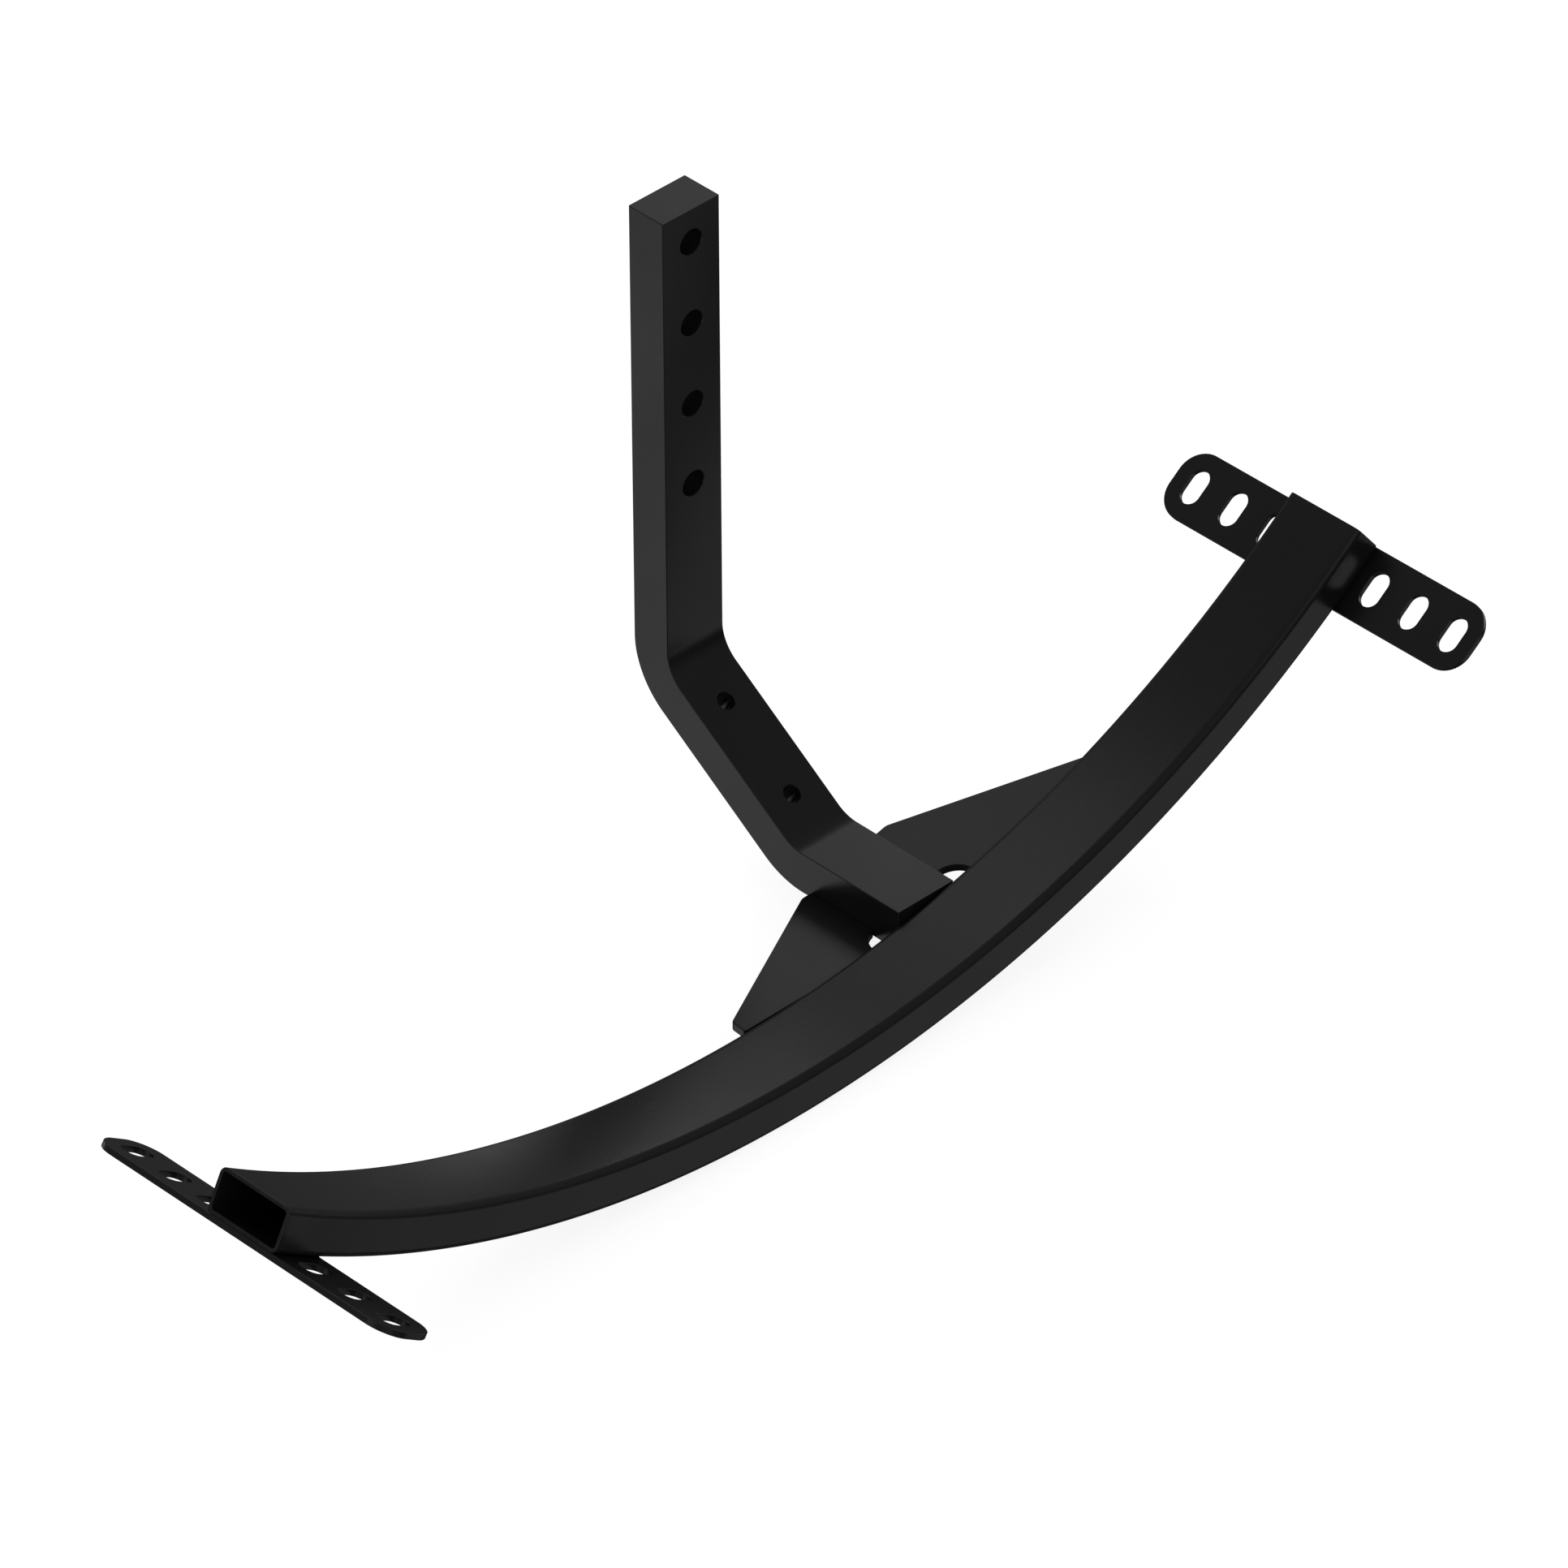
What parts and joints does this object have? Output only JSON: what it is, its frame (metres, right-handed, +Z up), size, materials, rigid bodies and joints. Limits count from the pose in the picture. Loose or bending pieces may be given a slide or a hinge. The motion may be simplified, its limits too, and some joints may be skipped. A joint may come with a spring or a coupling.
{
  "type": "weight distribution hitch",
  "caption": "Black powder-coated welded hitch frame: bowed rectangular tube, slotted plate under each end, and a bent solid shank with gusset wings and a line of cross holes",
  "frame": {"origin": "on the shank's flat front face, on its middle plane, halfway between the second and third of its four large holes", "axes": "+Z is up, along the shank's upright part; +X runs along the bowed tube towards its longer, higher right end seen from the front; +Y points from the front face back through the shank"},
  "size_m": [0.9961, 0.4175, 0.4903],
  "materials": {
    "powder_coat": "black satin powder coat over steel",
    "coated_weld": "black satin powder coat over weld bead"
  },
  "bodies": {
    "root": {"bow_tube": "powder_coat", "end_plate_left": "powder_coat", "end_plate_right": "powder_coat", "shank": "powder_coat", "gusset_left": "powder_coat", "gusset_right": "powder_coat", "weld_plate_right_rear": "coated_weld", "weld_plate_right_inner": "coated_weld", "weld_plate_left_rear": "coated_weld", "weld_plate_left_inner": "coated_weld", "weld_gusset_left_tube": "coated_weld", "weld_gusset_right_tube": "coated_weld", "weld_gusset_left_shank": "coated_weld", "weld_gusset_right_shank": "coated_weld", "weld_foot_tube": "coated_weld"}
  },
  "joints": []
}
